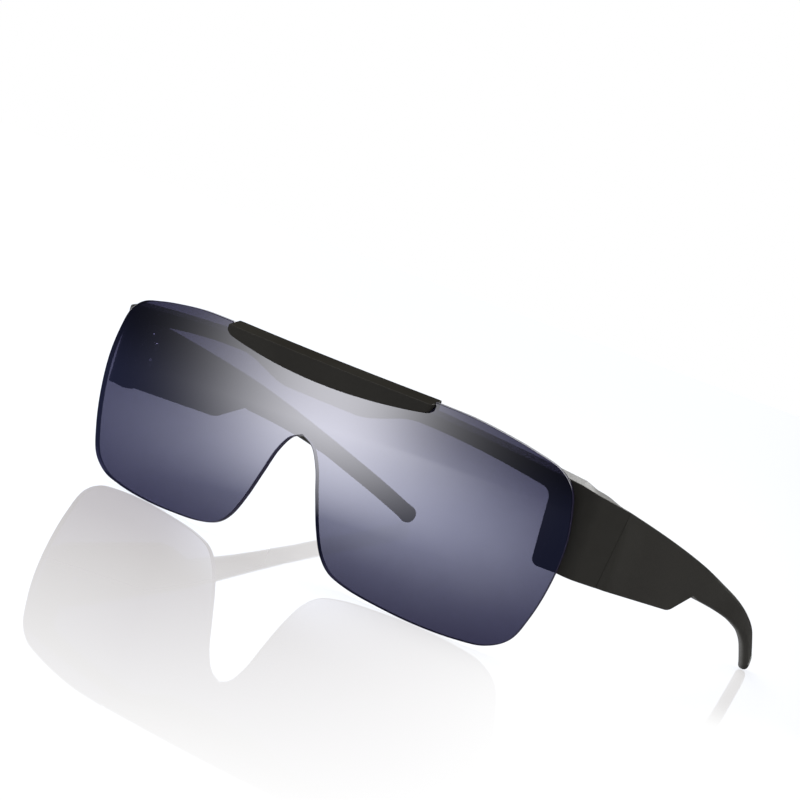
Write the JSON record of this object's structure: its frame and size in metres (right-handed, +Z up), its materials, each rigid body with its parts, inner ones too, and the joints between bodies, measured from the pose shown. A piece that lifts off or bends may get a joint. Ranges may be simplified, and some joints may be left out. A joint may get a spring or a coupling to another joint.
{
  "type": "flip-up fit-over sunglasses",
  "caption": "Half-rim sunglasses worn over spectacles: a one-piece tinted shield on a centre bar flips up from a wraparound front, with folding temples.",
  "frame": {"origin": "bottom centre of the whole, lens down and temples open, standing on a flat table on the lens's lower edge and the temple tips", "axes": "+X to the wearer's left, which is the right of the picture; +Y back from the lens to the temple tips; +Z up"},
  "size_m": [0.1558, 0.167, 0.0519],
  "materials": {
    "plastic_black": "fine matte, warm black",
    "lens_tint": "clear violet-grey tint, glossy both sides",
    "hinge_steel": "dark satin steel",
    "screw_steel": "satin steel",
    "pad_rubber": "dark soft rubber, matte"
  },
  "bodies": {
    "front": {"front_frame": "plastic_black", "flip_base": "hinge_steel", "flip_pin": "screw_steel", "detent_spring": "screw_steel", "spring_screw": "screw_steel", "base_screw_left": "screw_steel", "bumper_pad_left": "pad_rubber", "hinge_leaf_front_left": "hinge_steel", "hinge_screw_left": "screw_steel", "front_screw_left_upper": "screw_steel", "front_screw_left_lower": "screw_steel", "base_screw_right": "screw_steel", "bumper_pad_right": "pad_rubber", "hinge_leaf_front_right": "hinge_steel", "hinge_screw_right": "screw_steel", "front_screw_right_upper": "screw_steel", "front_screw_right_lower": "screw_steel"},
    "lens_flip_part": {"lens_shield": "lens_tint", "lens_bar": "plastic_black", "flip_knuckle": "hinge_steel", "bar_screw_left": "screw_steel", "bar_screw_right": "screw_steel"},
    "temple_right_arm": {"temple_right": "plastic_black", "hinge_leaf_temple_right": "hinge_steel", "temple_screw_right_upper": "screw_steel", "temple_screw_right_lower": "screw_steel", "tip_inlay_right": "screw_steel"},
    "temple_left_arm": {"temple_left": "plastic_black", "hinge_leaf_temple_left": "hinge_steel", "temple_screw_left_upper": "screw_steel", "temple_screw_left_lower": "screw_steel", "tip_inlay_left": "screw_steel"}
  },
  "joints": [
    {"name": "lens_flip", "type": "hinge", "parent": "front", "child": "lens_flip_part", "pos_m": [0, -0.07683, 0.04961], "axis": [-1, 0, 0], "range_deg": [0, 90]},
    {"name": "temple_right_fold", "type": "hinge", "parent": "front", "child": "temple_right_arm", "pos_m": [0.072, -0.05805, 0.03319], "axis": [0, 0.1028, 0.9947], "range_deg": [0, 86]},
    {"name": "temple_left_fold", "type": "hinge", "parent": "front", "child": "temple_left_arm", "pos_m": [-0.072, -0.05805, 0.03319], "axis": [0, -0.1028, -0.9947], "range_deg": [0, 78]}
  ]
}
